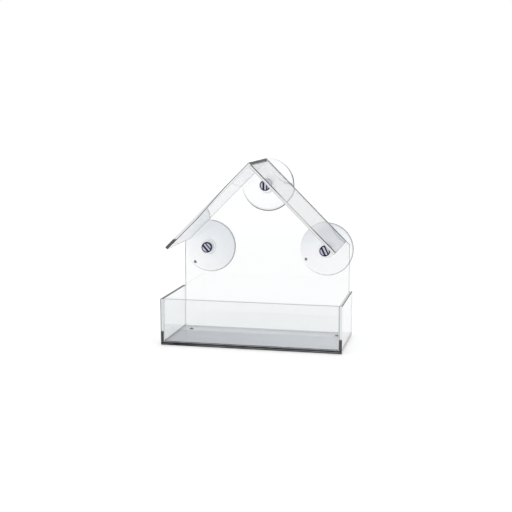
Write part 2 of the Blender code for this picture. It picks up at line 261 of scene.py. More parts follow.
class Tree:
    """A node tree and the few calls that the recipes below are written in."""

    def __init__(self, node_tree, material=None):
        self.node_tree = node_tree
        self.material = material
        node_tree.nodes.clear()

    def node(self, kind, settings=None, inputs=None, output=0):
        """Adds a node, with its settings first, then the values or links of its inputs."""
        node = self.node_tree.nodes.new(kind)
        for name, value in (settings or {}).items():
            setattr(node, name, value)
        for name, value in (inputs or {}).items():
            self.feed(socket_of(node.inputs, name), value)
        return Value(self, socket_of(node.outputs, output))

    def feed(self, socket, value):
        """Links a value to an input, or writes a plain one on it."""
        if isinstance(value, Value):
            self.node_tree.links.new(value.socket, socket)
        elif socket.type == "RGBA":
            socket.default_value = (*value, 1.0)
        else:
            socket.default_value = value

    def maths(self, operation, *values):
        """One Math node."""
        return self.node("ShaderNodeMath", {"operation": operation}, dict(enumerate(values)))

    def larger(self, first, second):
        """The larger of two values."""
        return self.maths("MAXIMUM", first, second)

    def ramp(self, value, start, end):
        """0 up to start, 1 from end on, and smooth between them."""
        inputs = {"Value": value, "From Min": start, "From Max": end}
        return self.node("ShaderNodeMapRange", {"interpolation_type": "SMOOTHSTEP"}, inputs)

    def mix(self, share, first, second):
        """A colour between two colours."""
        inputs = {"Factor_Float": share, "A_Color": first, "B_Color": second}
        return self.node("ShaderNodeMix", {"data_type": "RGBA"}, inputs, "Result_Color")

    def part(self, vector, axis):
        """One part of a vector, X, Y or Z."""
        return self.node("ShaderNodeSeparateXYZ", inputs={"Vector": vector}, output=axis)

    def attribute(self, name):
        """A number that is stored on the mesh."""
        return self.node("ShaderNodeAttribute", {"attribute_name": name}, output="Fac")

    def length(self, vector):
        """A vector's length."""
        return self.node("ShaderNodeVectorMath", {"operation": "LENGTH"}, {0: vector}, "Value")

    def reach(self):
        """Distance from a round piece's axis, from the two distances that are stored on its mesh."""
        parts = {"X": self.attribute("side"), "Y": self.attribute("along")}
        return self.length(self.node("ShaderNodeCombineXYZ", inputs=parts))

    def place(self, stretch=(1, 1, 1)):
        """The point's place on the object, in metres, with a pattern's stretch along each axis."""
        place = self.node("ShaderNodeTexCoord", output="Object")
        return self.node("ShaderNodeMapping", inputs={"Vector": place, "Scale": stretch})

    def cloud(self, size, detail=SOFT_DETAIL, stretch=(1, 1, 1)):
        """Soft noise with features of about the given size."""
        inputs = {"Vector": self.place(stretch), "Scale": 1 / size, "Detail": detail}
        return self.node("ShaderNodeTexNoise", inputs=inputs)

    def rings(self, size):
        """Noise that changes only with the distance from a round piece's axis, as turning marks do."""
        inputs = {"W": self.reach(), "Scale": 1 / size, "Detail": SOFT_DETAIL}
        return self.node("ShaderNodeTexNoise", {"noise_dimensions": "1D"}, inputs)

    def relief(self, height, depth, strength=1.0):
        """A normal from a height of 0 to 1 over the given depth."""
        return self.node("ShaderNodeBump", inputs={"Height": height, "Distance": depth, "Strength": strength})

    def principled(self, **inputs):
        """The main shader, with inputs by name, where an underscore stands for a space."""
        inputs = {name.replace("_", " "): value for name, value in inputs.items()}
        return self.node("ShaderNodeBsdfPrincipled", inputs=inputs)

    def ray(self, kind):
        """1 on rays of one kind, such as Is Shadow Ray."""
        return self.node("ShaderNodeLightPath", output=kind)

    def end(self, kind, name, value):
        """Links what the tree makes to its output node."""
        self.node_tree.links.new(value.socket, self.node_tree.nodes.new(kind).inputs[name])

    def surface(self, shader):
        """The material with its shader."""
        self.end("ShaderNodeOutputMaterial", "Surface", shader)
        return self.material

    def clear_surface(self, tint, **inputs):
        """The material as clear plastic, which lamps and soft light pass straight through."""
        shader = self.principled(**inputs)
        clear = self.node("ShaderNodeBsdfTransparent", inputs={"Color": tint})
        for kind in ("Is Diffuse Ray", "Is Shadow Ray"):
            shader = self.node("ShaderNodeMixShader", inputs={0: self.ray(kind), 1: shader, 2: clear})
        return self.surface(shader)


def socket_of(sockets, name):
    """A node's socket by its number, its identifier or its name."""
    if isinstance(name, int):
        return sockets[name]
    return next(socket for socket in sockets if name in (socket.identifier, socket.name) and socket.enabled)


def material_tree(name):
    """The empty tree of a new material."""
    material = bpy.data.materials.new(name)
    material.use_nodes = True
    return Tree(material.node_tree, material)


def roughness_of(parts, *patterns):
    """A roughness: its even part, and a part of each pattern."""
    roughness = parts[0]
    for part, pattern in zip(parts[1:], patterns):
        roughness += part * pattern
    return roughness


# Cast acrylic
WAVE_SIZE = 0.045
WAVE_DEPTH = 0.00002
HAZE_SIZE = 0.018
SCRATCH_SIZE = 0.0006
SCRATCH_STRETCH = (0.05, 0.9, 0.05)
SCRATCH_START = 0.68
SCRATCH_FULL = 0.80


def cast_acrylic(tree, colour, haze, shadow):
    """Cast acrylic: a slow waviness, a little haze and hairline wiping marks."""
    marks = tree.ramp(tree.cloud(SCRATCH_SIZE, stretch=SCRATCH_STRETCH), SCRATCH_START, SCRATCH_FULL)
    return tree.clear_surface(
        shadow,
        Base_Color=colour,
        Roughness=roughness_of(ACRYLIC_ROUGHNESS, haze, marks),
        IOR=ACRYLIC_IOR,
        Transmission_Weight=1.0,
        Normal=tree.relief(tree.cloud(WAVE_SIZE), WAVE_DEPTH),
    )


# Clean sheets and the painted shade along the right roof's lower end
CLEAN_HAZE_SHARE = 0.2
END_SHADE_HAZE_SHARE = 0.2
END_SHADE_START = 0.0505
END_SHADE_FULL = 0.0560
END_SHADE_EVEN_SHARE = 0.8
END_SHADE_CLOUD_SHARE = 0.3


def clear_sheet(name):
    """A sheet that is clean, with only a breath of haze, in a tint that painted shade darkens on some sheets.
    """
    tree = material_tree("clear_acrylic_" + name)
    haze = tree.cloud(HAZE_SIZE)
    return cast_acrylic(tree, tree.mix(haze, *SHEET_TINTS[name]), CLEAN_HAZE_SHARE * haze, SHEET_SHADOW)


def shaded_end_roof():
    """The right roof's sheet, darker along its lower end by painted shade, and a little rougher there."""
    tree = material_tree("clear_acrylic_right_roof")
    haze = tree.cloud(HAZE_SIZE)
    # Painted shade along the right roof's lower end
    in_shaded_end = tree.ramp(tree.part(tree.place(), "X"), END_SHADE_START, END_SHADE_FULL)
    end_shade = in_shaded_end * (END_SHADE_EVEN_SHARE + END_SHADE_CLOUD_SHARE * haze)
    colour = tree.mix(end_shade, tree.mix(haze, *SHEET_TINTS["right_roof"]), EAVES_PAINTED_SHADE)
    return cast_acrylic(tree, colour, CLEAN_HAZE_SHARE * haze + END_SHADE_HAZE_SHARE * end_shade, SHEET_SHADOW)


# Painted shade on the tray's floor, fading towards the right, and a painted lighter strip along the drain
# holes
SHADE_FADE_LEFT = -0.09
SHADE_FADE_RIGHT = 0.16
SHADE_FADE_EVEN_SHARE = 0.85
SHADE_FADE_CLOUD_SHARE = 0.30
LIT_STRIP_START = 0.0135
LIT_STRIP_END = 0.0185
LIT_STRIP_UNEVENNESS = 0.002
LIT_STRIP_SHARE = 0.90
DUSTY_HAZE_SHARE = 0.45
DUSTY_CLOUD_SHARE = 0.35


def painted_shade_floor():
    """The tray's floor: grey by painted shade that fades towards the right, with a painted lighter strip
    along the drain holes.
    """
    tree = material_tree("clear_acrylic_painted_shade_floor")
    place = tree.place()
    cloud = tree.cloud(HAZE_SIZE, detail=FINE_DETAIL)
    # Painted shade, which thins towards the right
    thin = tree.ramp(tree.part(place, "X"), SHADE_FADE_LEFT, SHADE_FADE_RIGHT)
    # Painted light: a lighter strip along the drain holes
    lit_strip = tree.ramp(tree.part(place, "Y") + LIT_STRIP_UNEVENNESS * cloud, LIT_STRIP_START, LIT_STRIP_END)
    clean = tree.larger(thin * (SHADE_FADE_EVEN_SHARE + SHADE_FADE_CLOUD_SHARE * cloud), LIT_STRIP_SHARE * lit_strip)
    colour = tree.mix(clean, FLOOR_SHEET_SHADED, FLOOR_SHEET_LIT)
    return cast_acrylic(tree, colour, DUSTY_HAZE_SHARE + DUSTY_CLOUD_SHARE * cloud, SEED_FLOOR_SHADOW)


# Cut edges, darkened by painted reflection and shade, with places across the thickness from -1 at the sheet's
# low face to 1 at its high face
EDGE_MARK_SIZE = 0.0004
EDGE_MARK_DEPTH = 0.00002
EDGE_GLOSS = 0.06
EDGE_CLOUD_SIZE = 0.006
EDGE_EVEN_SHARE = 0.94
EDGE_CLOUD_SHARE = 0.12
# Painted dark borders along an edge's low and high face
BORDER_START_SHARE = 0.35
BORDER_FULL_SHARE = 0.60
# A painted dark line along an edge, which crosses from the low face to the high one
LINE_PLACE_SHARE = 0.80
LINE_END_SHARE = 0.36
LINE_FULL_SHARE = 0.12
# A painted pale gleam along an edge's middle, a painted highlight
GLEAM_PLACE_SHARE = -0.15
GLEAM_END_SHARE = 0.30
GLEAM_FULL_SHARE = 0.08
GLEAM_SIZE = 0.045
GLEAM_CLOUD_START = 0.3
GLEAM_CLOUD_FULL = 0.6

# Heights over a sheet's lowest point at which the marks on its edges start and end
LINE_CROSSING_START = 0.021
LINE_CROSSING_END = 0.057
# Where the high border of an edge is painted paler midway, as painted light
PAINTED_PALE_MIDDLE = 0.033
PAINTED_PALE_HALF = 0.008
PAINTED_PALE_REACH = 0.018
# A painted dark stub at a sheet's lower end, painted shade
STUB_FULL = 0.0080
STUB_END = 0.0095
CEMENTED_FULL = 0.0355
CEMENTED_END = 0.0360


def edge_shade(tree):
    """How dark each point of a cut edge is painted, as painted reflection and shade, from the marks that are
    stored on the sheet's faces.
    """
    across = tree.attribute("across")
    rise = tree.attribute("rise")
    # Painted light: the high border is paler midway up the sheet
    midway = tree.ramp(abs(rise - PAINTED_PALE_MIDDLE), PAINTED_PALE_REACH, PAINTED_PALE_HALF)
    low_border = tree.attribute("low_border") * tree.ramp(across, -BORDER_START_SHARE, -BORDER_FULL_SHARE)
    high_border = tree.attribute("high_border") * tree.ramp(across, BORDER_START_SHARE, BORDER_FULL_SHARE)
    borders = tree.larger(low_border, high_border * (1 - tree.attribute("bleached") * midway))
    crossed = tree.ramp(rise, LINE_CROSSING_START, LINE_CROSSING_END)
    off_line = abs(across + LINE_PLACE_SHARE * (1 - 2 * crossed))
    line = tree.attribute("line") * tree.ramp(off_line, LINE_END_SHARE, LINE_FULL_SHARE)
    streak = tree.ramp(abs(across - GLEAM_PLACE_SHARE), GLEAM_END_SHARE, GLEAM_FULL_SHARE)
    streak = streak * tree.ramp(tree.cloud(GLEAM_SIZE), GLEAM_CLOUD_START, GLEAM_CLOUD_FULL)
    middle = tree.attribute("shade") - tree.attribute("gleam") * streak
    cemented = tree.attribute("cemented") * tree.ramp(rise, CEMENTED_END, CEMENTED_FULL)
    shade = tree.larger(middle, tree.larger(line, borders)) * (1 - cemented)
    uneven = EDGE_EVEN_SHARE + EDGE_CLOUD_SHARE * tree.cloud(EDGE_CLOUD_SIZE)
    stub = tree.attribute("stub") * tree.ramp(rise, STUB_END, STUB_FULL)
    return tree.larger(shade * uneven, stub)


def cut_edge():
    """A cut and polished edge, whose colour has the dark of the room painted in as painted reflection and
    shade, with fine marks from the polishing.
    """
    tree = material_tree("polished_cut_edge")
    marks = tree.cloud(EDGE_MARK_SIZE, detail=FINE_DETAIL)
    shader = tree.principled(
        Base_Color=tree.mix(edge_shade(tree), EDGE_LIGHT, EDGE_DARK),
        Roughness=roughness_of(EDGE_ROUGHNESS, marks),
        IOR=ACRYLIC_IOR,
        Specular_IOR_Level=EDGE_GLOSS,
        Normal=tree.relief(marks, EDGE_MARK_DEPTH),
    )
    return tree.surface(shader)


# Soft PVC
FLOW_SIZE = 0.012
FLOW_DEPTH = 0.00003
SIDE_SHADE_EVEN_SHARE = 0.8
SIDE_SHADE_FLOW_SHARE = 0.4
DUST_SIZE = 0.0005
DUST_START = 0.66
DUST_FULL = 0.74


def soft_pvc():
    """Clear soft PVC, painted greyer towards one side as painted shade, with flow marks, a little dust, and a
    lip and nub painted dark as painted shade.
    """
    tree = material_tree("clear_soft_pvc")
    flow = tree.cloud(FLOW_SIZE, detail=FINE_DETAIL)
    dust = tree.ramp(tree.cloud(DUST_SIZE), DUST_START, DUST_FULL)
    milk = tree.attribute("milk") * (SIDE_SHADE_EVEN_SHARE + SIDE_SHADE_FLOW_SHARE * flow)
    body = tree.mix(milk, PVC_CLEAR, PVC_SHADED)
    return tree.clear_surface(
        PVC_SHADOW,
        Base_Color=tree.mix(tree.attribute("shade"), body, PVC_RIM),
        Roughness=roughness_of(PVC_ROUGHNESS, flow, dust),
        IOR=PVC_IOR,
        Transmission_Weight=1.0,
        Normal=tree.relief(flow, FLOW_DEPTH),
    )


# Nylon
GRAIN_SIZE = 0.0008
GRAIN_DEPTH = 0.00002
GRAIN_CLEAR_SHARE = 0.7
EDGE_CLEAR_SHARE = 0.3


def clear_nylon():
    """Moulded nylon: milky towards its bore, with a fine grain."""
    tree = material_tree("clear_nylon")
    grain = tree.cloud(GRAIN_SIZE, detail=FINE_DETAIL)
    outer = tree.ramp(tree.reach(), THREAD_RADIUS, WASHER_RADIUS)
    return tree.clear_surface(
        NYLON_SHADOW,
        Base_Color=tree.mix(GRAIN_CLEAR_SHARE * grain + EDGE_CLEAR_SHARE * outer, NYLON_CLOUD, NYLON_CLEAR),
        Roughness=roughness_of(NYLON_ROUGHNESS, grain),
        IOR=NYLON_IOR,
        Transmission_Weight=NYLON_CLEAR_SHARE,
        Normal=tree.relief(grain, GRAIN_DEPTH),
    )


# Turned metal
TURNING_SIZE = 0.00012
TURNING_DEPTH = 0.000012
TURNING_STRENGTH = 0.6
TARNISH_SIZE = 0.0022


def turned_metal(tree, colour, tarnish, parts):
    """Metal with turning marks round its axis, and with the parts of its roughness."""
    marks = tree.rings(TURNING_SIZE)
    shader = tree.principled(
        Base_Color=colour,
        Roughness=roughness_of(parts, marks, tarnish),
        Metallic=1.0,
        Normal=tree.relief(marks, TURNING_DEPTH, TURNING_STRENGTH),
    )
    return tree.surface(shader)


def turned_brass():
    """Brass with slow clouds of tarnish."""
    tree = material_tree("turned_brass")
    tarnish = tree.cloud(TARNISH_SIZE, detail=FINE_DETAIL)
    return turned_metal(tree, tree.mix(tarnish, BRASS_BRIGHT, BRASS_DULL), tarnish, BRASS_ROUGHNESS)


# Distances from the slot's middle and from the screw's axis at which the painted shade and reflection on the
# head start and end
SLOT_SHADE_START = 0.00060
SLOT_SHADE_FULL = 0.00085
SLOT_SHADE_FADE = 0.00205
SLOT_SHADE_END = 0.00245
PALER_WALL_SHARE = 0.22
RING_SHADE_START = 0.0034
RING_SHADE_FULL = 0.0038


def bright_chrome():
    """Chrome plate, with the dark of the room painted into its slot and round the head's rounded edge, as
    painted reflection and shade.
    """
    tree = material_tree("bright_chrome_plate")
    tarnish = tree.cloud(TARNISH_SIZE, detail=FINE_DETAIL)
    side = tree.attribute("side")
    # Painted shade and reflection in the slot and round the head's rim
    walls = tree.ramp(abs(side), SLOT_SHADE_START, SLOT_SHADE_FULL)
    walls = walls * tree.ramp(abs(side), SLOT_SHADE_END, SLOT_SHADE_FADE)
    walls = walls * (1 - PALER_WALL_SHARE * tree.ramp(side, SLOT_SHADE_START, -SLOT_SHADE_START))
    ring = tree.ramp(tree.reach(), RING_SHADE_START, RING_SHADE_FULL)
    shade = tree.attribute("head") * tree.larger(walls, ring)
    body = tree.mix(tarnish, CHROME_BRIGHT, CHROME_CLOUD)
    return turned_metal(tree, tree.mix(shade, body, CHROME_SHADED), tarnish, CHROME_ROUGHNESS)


# Cement
BUBBLE_SIZE = 0.0009
BUBBLE_START = 0.66
BUBBLE_FULL = 0.72


def solvent_cement():
    """A dried solvent joint: clear, with pinhead bubbles."""
    tree = material_tree("dried_solvent_cement")
    bubbles = tree.ramp(tree.cloud(BUBBLE_SIZE, detail=PLAIN_DETAIL), BUBBLE_START, BUBBLE_FULL)
    return tree.clear_surface(
        CEMENT_SHADOW,
        Base_Color=tree.mix(bubbles, CEMENT_CLEAR, CEMENT_CLOUD),
        Roughness=roughness_of(CEMENT_ROUGHNESS, bubbles),
        IOR=CEMENT_IOR,
        Transmission_Weight=CEMENT_CLEAR_SHARE,
    )


# Floor
FIBRE_SIZE = 0.004
NEAR_GLOW_SHARE = 0.28
FAR_GLOW_SHARE = 0.20
FAR_START = 0.25
FAR_END = 2.0


def white_paper():
    """The floor, which shows white where nothing shades it and keeps the object's shadow."""
    tree = material_tree("white_floor")
    colour = tree.mix(tree.cloud(FIBRE_SIZE), FLOOR_PAPER, FLOOR_FIBRE)
    paper = tree.principled(Base_Color=colour, Roughness=PAPER_ROUGHNESS, Specular_IOR_Level=0.0)
    seen = tree.larger(tree.ray("Is Camera Ray"), tree.ray("Is Glossy Ray"))
    far = tree.ramp(tree.length(tree.place()), FAR_START, FAR_END)
    glow = tree.mix((NEAR_GLOW_SHARE + FAR_GLOW_SHARE * far) * seen, BLACK, WHITE)
    glow = tree.node("ShaderNodeEmission", inputs={"Color": glow, "Strength": 1.0})
    return tree.surface(tree.node("ShaderNodeAddShader", inputs={0: paper, 1: glow}))


def new_object(name, data):
    """An object in the scene, for a mesh, a lamp or a camera."""
    thing = bpy.data.objects.new(name, data)
    bpy.context.scene.collection.objects.link(thing)
    return thing


def mesh_of(shape, name):
    """The mesh of a finished shape."""
    mesh = bpy.data.meshes.new(name)
    shape.to_mesh(mesh)
    shape.free()
    return mesh


def plain_mesh(thing):
    """The finished mesh of an object with its modifiers, with the object itself removed."""
    graph = bpy.context.evaluated_depsgraph_get()
    mesh = bpy.data.meshes.new_from_object(thing.evaluated_get(graph))
    bpy.data.objects.remove(thing, do_unlink=True)
    return mesh


def cut(mesh, tools, operation="DIFFERENCE"):
    """Cuts tools out of a mesh, or joins them to it."""
    thing = new_object(mesh.name, mesh)
    cutters = [new_object("tool", tool) for tool in tools]
    for cutter in cutters:
        modifier = thing.modifiers.new("cut", "BOOLEAN")
        modifier.object = cutter
        modifier.operation = operation
        modifier.solver = "EXACT"
    made = plain_mesh(thing)
    for cutter in cutters:
        bpy.data.objects.remove(cutter, do_unlink=True)
    return made


def rounded(mesh, width, steps):
    """Rounds all sharp edges of a mesh."""
    thing = new_object(mesh.name, mesh)
    modifier = thing.modifiers.new("rounding", "BEVEL")
    modifier.width = width
    modifier.segments = steps
    modifier.limit_method = "ANGLE"
    return plain_mesh(thing)


def prism(name, corners, depth):
    """An outline in XY, with its thickness evenly about its own plane."""
    shape = bmesh.new()
    low = [shape.verts.new((x, y, -depth / 2)) for x, y in corners]
    high = [shape.verts.new((x, y, depth / 2)) for x, y in corners]
    shape.faces.new(high)
    shape.faces.new(list(reversed(low)))
    for i in range(len(corners)):
        j = (i + 1) % len(corners)
        shape.faces.new((low[i], low[j], high[j], high[i]))
    bmesh.ops.recalc_face_normals(shape, faces=shape.faces)
    return mesh_of(shape, name)


def arc(centre, radii, start, end, steps=ROUNDING_POINTS):
    """Points of a circle or an ellipse from one angle to another."""
    x, y = centre
    wide, high = radii
    angles = [start + (end - start) * step / steps for step in range(steps + 1)]
    return [(x + wide * math.cos(angle), y + high * math.sin(angle)) for angle in angles]


def circle(radius, steps, centre=(0, 0)):
    """Points round a circle."""
    return arc(centre, (radius, radius), 0, 2 * math.pi, steps)[:-1]


def lathe(name, profile, steps, closed=False):
    """A profile of (radius, height) points turned round the Z axis. A point on the axis is one vertex."""
    shape = bmesh.new()
    rings = []
    for radius, height in profile:
        if radius == 0:
            rings.append([shape.verts.new((0, 0, height))])
        else:
            rings.append([shape.verts.new((x, y, height)) for x, y in circle(radius, steps)])
    pairs = list(zip(rings, rings[1:]))
    if closed:
        pairs.append((rings[-1], rings[0]))
    for upper, lower in pairs:
        for i in range(steps):
            j = (i + 1) % steps
            corners = [upper[i % len(upper)], lower[i % len(lower)]]
            corners += [lower[j % len(lower)], upper[j % len(upper)]]
            shape.faces.new(list(dict.fromkeys(corners)))
    bmesh.ops.recalc_face_normals(shape, faces=shape.faces)
    return mesh_of(shape, name)


def joined(name, meshes):
    """Several meshes as one."""
    shape = bmesh.new()
    for mesh in meshes:
        shape.from_mesh(mesh)
    return mesh_of(shape, name)


def write_numbers(mesh, name, numbers):
    """Stores one number for each face corner."""
    attribute = mesh.attributes.new(name, "FLOAT", "CORNER")
    attribute.data.foreach_set("value", numbers)


def put_in_scene(mesh, place, body, materials, replaces=()):
    """Makes a finished piece at its place, which moves with a body."""
    mesh.transform(place)
    for material in materials:
        mesh.materials.append(material)
    piece = new_object(mesh.name, mesh)
    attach(piece, body)
    if replaces:
        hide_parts(*replaces)


EDGE_MARKS = ("shade", "low_border", "high_border", "line", "gleam", "stub", "cemented", "bleached")


def edge_shares(shade, low_border, high_border, **others):
    """How dark an edge is painted, as painted reflection and shade: its middle, its borders on the sheet's
    low and high face, and other marks.

    The others are a painted dark line that crosses from the low face to the high one, a painted pale gleam in
    the middle, a painted dark stub at the lower end, how far cement to the tray clears the edge, and how far
    the high border is painted paler midway, as painted light.
    """
    shares = dict.fromkeys(EDGE_MARKS, 0.0)
    shares.update(shade=shade, low_border=low_border, high_border=high_border, **others)
    return shares


# Painted reflection and shade on the cut edges: how dark each edge of each sheet is painted
DARK_EDGE_SHARES = edge_shares(0.95, 0.96, 0.96)
FAINT_EDGE_SHARES = edge_shares(0.35, 0.40, 0.40)
PALE_EDGE_SHARES = edge_shares(0.12, 0.20, 0.20)
CLEAR_EDGE_SHARES = edge_shares(0.0, 0.03, 0.03)
HOLE_SHARES = edge_shares(0.98, 0.98, 0.98)
EDGE_SHARES = {
    "tray_floor": {"left": edge_shares(0.72, 0.80, 0.80), "right": edge_shares(0.06, 0.10, 0.34),
                   "low": edge_shares(0.98, 0.98, 0.98, gleam=0.26), "high": FAINT_EDGE_SHARES},
    "tray_front": {"left": CLEAR_EDGE_SHARES, "right": PALE_EDGE_SHARES,
                   "low": DARK_EDGE_SHARES, "high": FAINT_EDGE_SHARES},
    "tray_left_side": {"left": edge_shares(0.08, 0.84, 0.14, stub=0.92), "right": CLEAR_EDGE_SHARES,
                       "low": edge_shares(0.70, 0.72, 0.72), "high": edge_shares(0.83, 0.85, 0.85)},
    "tray_right_side": {"left": edge_shares(0.0, 0.42, 0.0, stub=0.90), "right": CLEAR_EDGE_SHARES,
                        "low": DARK_EDGE_SHARES, "high": edge_shares(0.34, 0.34, 0.97)},
    "back_panel": {"left": edge_shares(0.78, 0.78, 0.78, cemented=0.75), "right": DARK_EDGE_SHARES,
                   "low": PALE_EDGE_SHARES, "high_left": FAINT_EDGE_SHARES, "high_right": DARK_EDGE_SHARES},
    "left_roof_panel": {"left": DARK_EDGE_SHARES, "right": edge_shares(0.96, 0.96, 0.98),
                        "low": edge_shares(0.0, 0.0, 0.10, line=0.84, stub=0.88), "high": DARK_EDGE_SHARES},
    "right_roof_panel": {"left": DARK_EDGE_SHARES, "right": DARK_EDGE_SHARES,
                         "low": edge_shares(0.0, 0.18, 0.95, bleached=0.55), "high": DARK_EDGE_SHARES},
}
SLANTED_SHARE = 0.5
FLAT_SHARE = 0.99
HOLE_FACE_RADII = 1.5


def edge_side(normal):
    """Which side of its sheet an edge is on, in the sheet's own plane."""
    across = "left" if normal.x < 0 else "right"
    if min(abs(normal.x), abs(normal.y)) > SLANTED_SHARE:
        return "high_" + across
    if abs(normal.x) > abs(normal.y):
        return across
    return "low" if normal.y < 0 else "high"


def face_shares(name, face, holes):
    """The marks of one face of a sheet. The slivers at a rectangle's corners are dark."""
    for centre, radius in holes:
        if (face.center.xy - Vector(centre)).length < radius * HOLE_FACE_RADII:
            return HOLE_SHARES
    return EDGE_SHARES[name].get(edge_side(face.normal), DARK_EDGE_SHARES)


def mark_sheet(mesh, name, holes, place):
    """Gives the faces their materials and the numbers that the edge material reads."""
    lowest = min((place @ vertex.co).z for vertex in mesh.vertices)
    numbers = {mark: [] for mark in (*EDGE_MARKS, "across", "rise")}
    for face in mesh.polygons:
        face.material_index = 0 if abs(face.normal.z) > FLAT_SHARE else 1
        shares = face_shares(name, face, holes)
        for index in face.vertices:
            corner = mesh.vertices[index].co
            for mark, share in shares.items():
                numbers[mark].append(share)
            numbers["across"].append(corner.z / (SHEET / 2))
            numbers["rise"].append((place @ corner).z - lowest)
    for mark, values in numbers.items():
        write_numbers(mesh, mark, values)


def make_sheet(name, corners, place, materials, holes=()):
    """One piece of sheet with its holes and softly rounded edges, standing for its node."""
    mesh = prism(name, corners, SHEET)
    outlines = [circle(radius, HOLE_STEPS, centre) for centre, radius in holes]
    if outlines:
        mesh = cut(mesh, [prism("hole", outline, SHEET + CUT_OVERRUN) for outline in outlines])
    mesh = rounded(mesh, EDGE_ROUNDING, EDGE_ROUNDING_STEPS)
    mesh.name = name + "_sheet"
    mark_sheet(mesh, name, holes, place)
    put_in_scene(mesh, place, "feeder", materials, [name])


def rectangle(width, height):
    """Corners of a rectangle about its middle."""
    x, y = width / 2, height / 2
    return [(-x, -y), (x, -y), (x, y), (-x, y)]


UPRIGHT_ACROSS = Matrix.Rotation(math.pi / 2, 4, "X")
UPRIGHT_ALONG = Matrix.Rotation(math.pi / 2, 4, "Z") @ UPRIGHT_ACROSS


def middle_of(node):
    """The move to the middle of a node's box, and the box's size."""
    low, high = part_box(node)
    return Matrix.Translation((low + high) / 2), high - low


def make_tray(floor_materials, materials):
    """The floor with its drain holes, the two sides and the front."""
    move, size = middle_of("tray_floor")
    drain_x = size.x / 2 - DRAIN_SIDE_INSET
    drain_y = size.y / 2 - DRAIN_REAR_INSET
    holes = [((sign * drain_x, drain_y), DRAIN_RADIUS) for sign in (-1, 1)]
    make_sheet("tray_floor", rectangle(size.x, size.y), move, floor_materials, holes)
    for name in ("tray_left_side", "tray_right_side"):
        move, size = middle_of(name)
        make_sheet(name, rectangle(size.y, size.z), move @ UPRIGHT_ALONG, materials)
    move, size = middle_of("tray_front")
    make_sheet("tray_front", rectangle(size.x, size.z), move @ UPRIGHT_ACROSS, materials)


def fixing_axes():
    """Where each screw's axis meets the back panel's rear face."""
    return {j["name"].split("_")[1]: Vector(j["pos_m"]) for j in frame["joints"] if "swivel" in j["name"]}


def make_back_panel(materials):
    """The house-shaped panel with its three screw holes."""
    low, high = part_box("back_panel")
    shoulder = high.z - (high.x - low.x) / 2 * math.tan(ROOF_PITCH)
    corners = [(low.x, low.z), (high.x, low.z), (high.x, shoulder), (0, high.z), (low.x, shoulder)]
    holes = [((axis.x, axis.z), SCREW_HOLE_RADIUS) for axis in fixing_axes().values()]
    move = Matrix.Translation((0, (low.y + high.y) / 2, 0))
    make_sheet("back_panel", corners, move @ UPRIGHT_ACROSS, materials, holes)


ROOF_TURNS = {"left": -ROOF_PITCH, "right": ROOF_PITCH}


def roof_size(side):
    """A roof panel's length down its slope and its depth, from its node's box."""
    low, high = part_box(side + "_roof_panel")
    slope = (high.x - low.x - SHEET * math.sin(ROOF_PITCH)) / math.cos(ROOF_PITCH)
    return slope, high.y - low.y


def make_roof(sheets, edge):
    """The two sloping panels, each a rectangle about the middle of its node's box."""
    for side, turn in ROOF_TURNS.items():
        move, _ = middle_of(side + "_roof_panel")
        place = move @ Matrix.Rotation(turn, 4, "Y")
        make_sheet(side + "_roof_panel", rectangle(*roof_size(side)), place, [sheets[side], edge])


def seam_between(low, high):
    """A thin strip of cement that fills a joint's gap, with a hair's room on each side."""
    room = Vector((CEMENT_INSET,) * 3)
    thin = min(range(3), key=lambda axis: high[axis] - low[axis])
    room[thin] = CEMENT_CLEARANCE
    low, high = low + room, high - room
    mesh = prism("seam", rectangle(high.x - low.x, high.y - low.y), high.z - low.z)
    mesh.transform(Matrix.Translation((low + high) / 2))
    return mesh


def make_cement(material):
    """Cement under the walls, at the tray's upright corners and where the roof meets the panel."""
    seams = []
    for wall in ("tray_left_side", "tray_right_side", "tray_front", "back_panel"):
        low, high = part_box(wall)
        seams.append(seam_between(Vector((low.x, low.y, FLOOR_HIGH.z)), Vector((high.x, high.y, low.z))))
    side_low, side_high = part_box("tray_right_side")
    for wall in ("tray_front", "back_panel"):
        low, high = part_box(wall)
        top = min(high.z, side_high.z)
        for start, end in ((high.x, side_low.x), (-side_low.x, low.x)):
            seams.append(seam_between(Vector((start, low.y, low.z)), Vector((end, high.y, top))))
    panel_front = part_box("back_panel")[0].y
    for side, turn in ROOF_TURNS.items():
        low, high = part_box(side + "_roof_panel")
        half = Vector((roof_size(side)[0], panel_front - high.y, SHEET)) / 2
        centre = (low + high) / 2
        centre.y = (panel_front + high.y) / 2
        seam = seam_between(-half, half)
        seam.transform(Matrix.Translation(centre) @ Matrix.Rotation(turn, 4, "Y"))
        seams.append(seam)
    mesh = joined("cement_seams", seams)
    put_in_scene(mesh, Matrix.Identity(4), "feeder", [material])


def rounded_corner(outer, height, rounding):
    """Points of a rounded top outer corner, from the flat top round to the straight side."""
    return arc((outer - rounding, height - rounding), (rounding, rounding), math.pi / 2, 0)


def dome_height(radius):
    """Height of the cup's outer face, which leaves the neck's fillet level and steepens to the rim."""
    drop = DOME_TOP - (RIM_PLANE + LIP_THICKNESS)
    share = (radius - DOME_START) / (CUP_RADIUS - DOME_START)
    return DOME_TOP - drop * share ** DOME_ROUNDNESS


